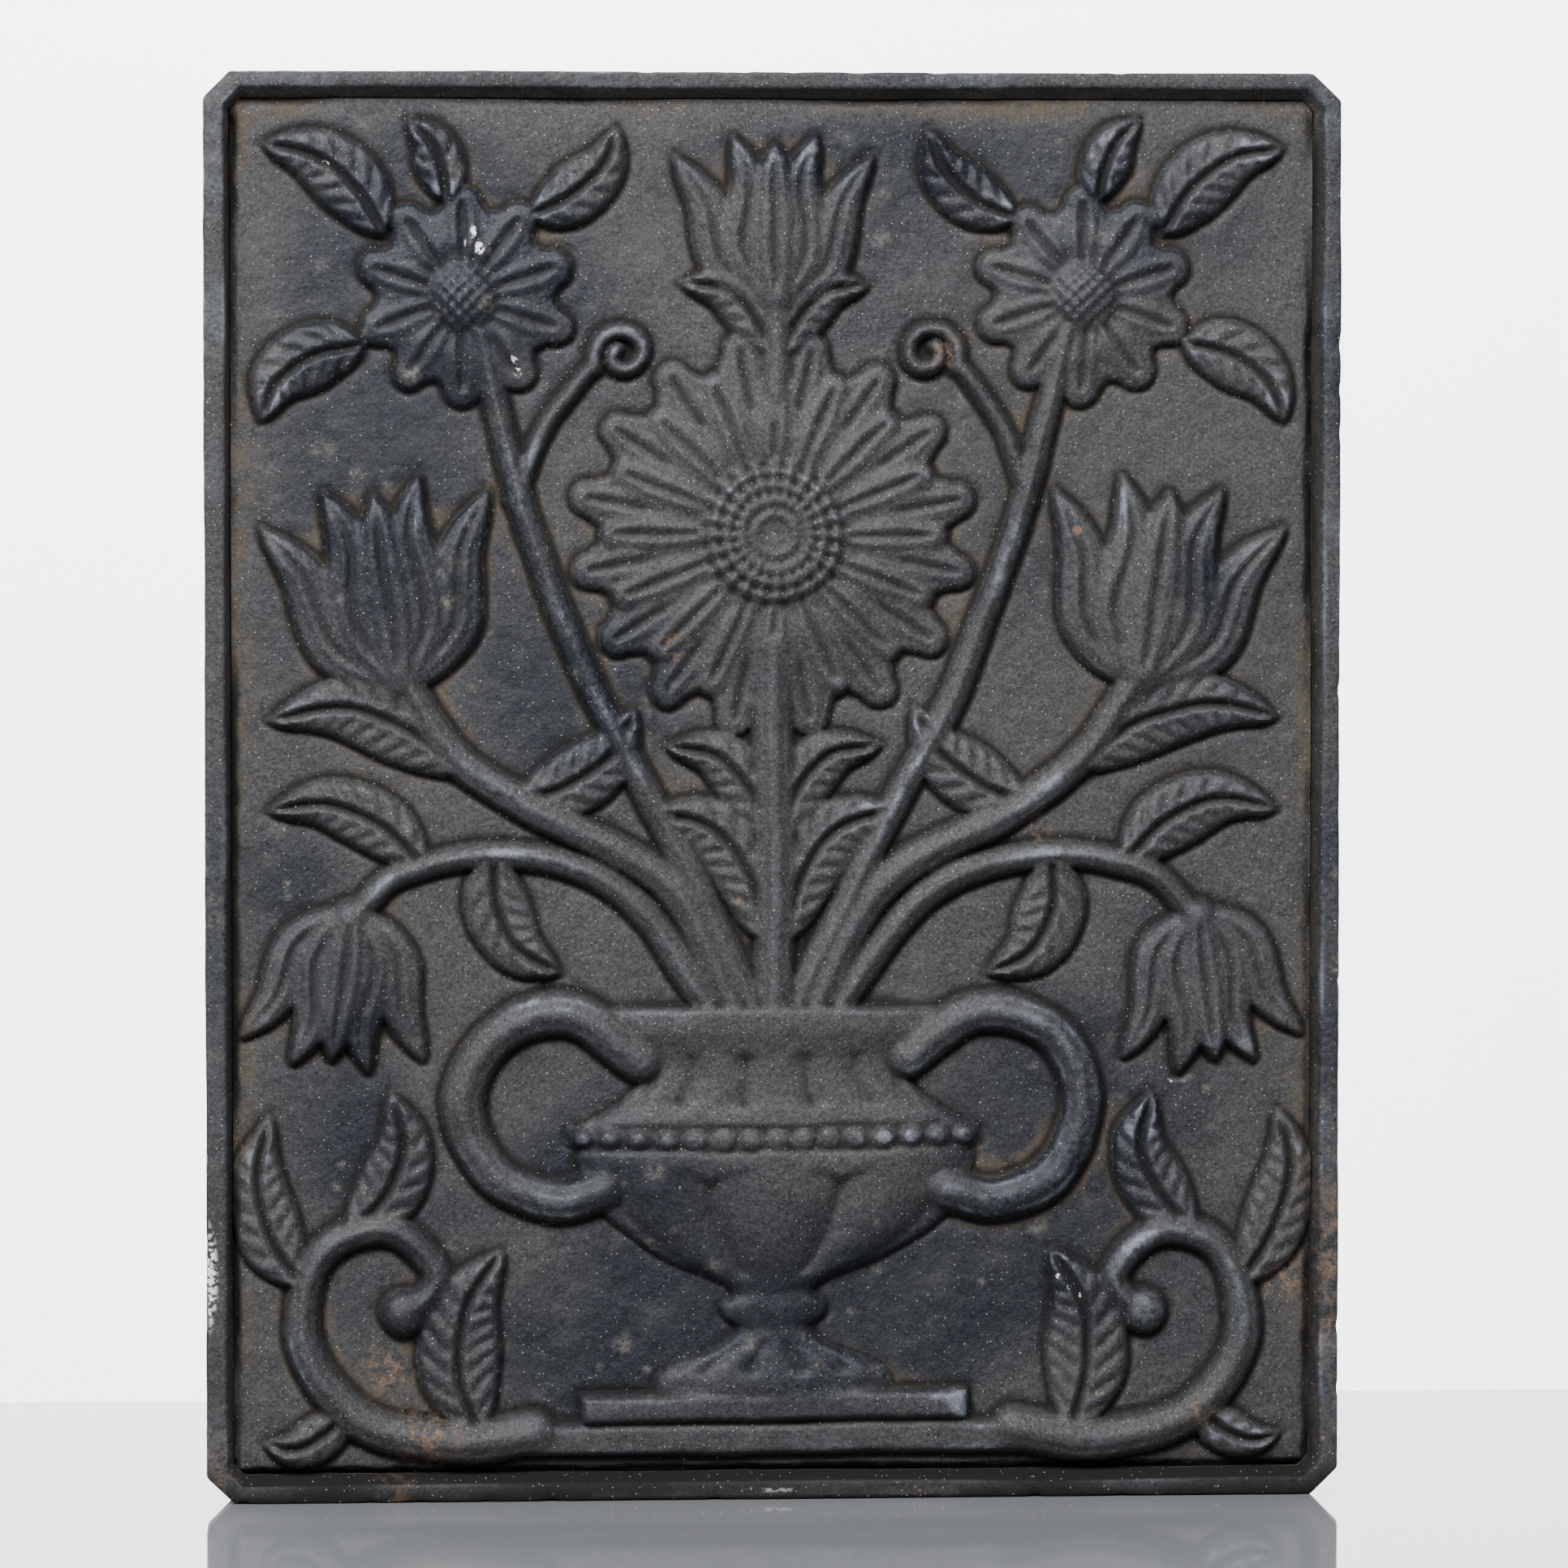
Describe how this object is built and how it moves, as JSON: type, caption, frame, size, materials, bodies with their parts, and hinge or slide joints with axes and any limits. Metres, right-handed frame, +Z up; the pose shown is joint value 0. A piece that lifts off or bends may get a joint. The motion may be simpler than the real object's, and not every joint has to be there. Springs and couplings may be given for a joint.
{
  "type": "fireback",
  "caption": "Upright cast-iron hearth plate: a raised border with clipped corners round a panel of flowers in an urn in relief, on strap feet with stays behind.",
  "frame": {"origin": "middle of the lower edge of the border, halfway through its thickness, on the hearth", "axes": "+Z up the plate, -Y out of the relief face towards the viewer, +Y back to the feet, +X to the viewer's right"},
  "size_m": [0.398, 0.1452, 0.5],
  "materials": {
    "border_iron": "sand-cast iron, charcoal grey, sparse brown rust and pale rubbed edges",
    "panel_iron": "sand-cast iron with a bluish black polish, brown dust in the hollows",
    "strap_iron": "forge-black bar with rust at the bends and edges",
    "rivet_iron": "hammered rivet heads, dark with brown rust",
    "stud_iron": "dull threaded steel with brown rust in the thread",
    "nut_iron": "dull square nuts with worn corners"
  },
  "bodies": {
    "root": {"border_frame": "border_iron", "relief_panel": "panel_iron", "strap_foot_left": "strap_iron", "strap_foot_right": "strap_iron", "stay_left": "strap_iron", "stay_right": "strap_iron", "stay_rivet_upper_left": "rivet_iron", "stay_rivet_upper_right": "rivet_iron", "stay_rivet_lower_left": "rivet_iron", "stay_rivet_lower_right": "rivet_iron", "stud_lower_left": "stud_iron", "stud_lower_right": "stud_iron", "stud_upper_left": "stud_iron", "stud_upper_right": "stud_iron", "washer_lower_left": "stud_iron", "washer_lower_right": "stud_iron", "washer_upper_left": "stud_iron", "washer_upper_right": "stud_iron", "nut_lower_left": "nut_iron", "nut_lower_right": "nut_iron", "nut_upper_left": "nut_iron", "nut_upper_right": "nut_iron"}
  },
  "joints": []
}
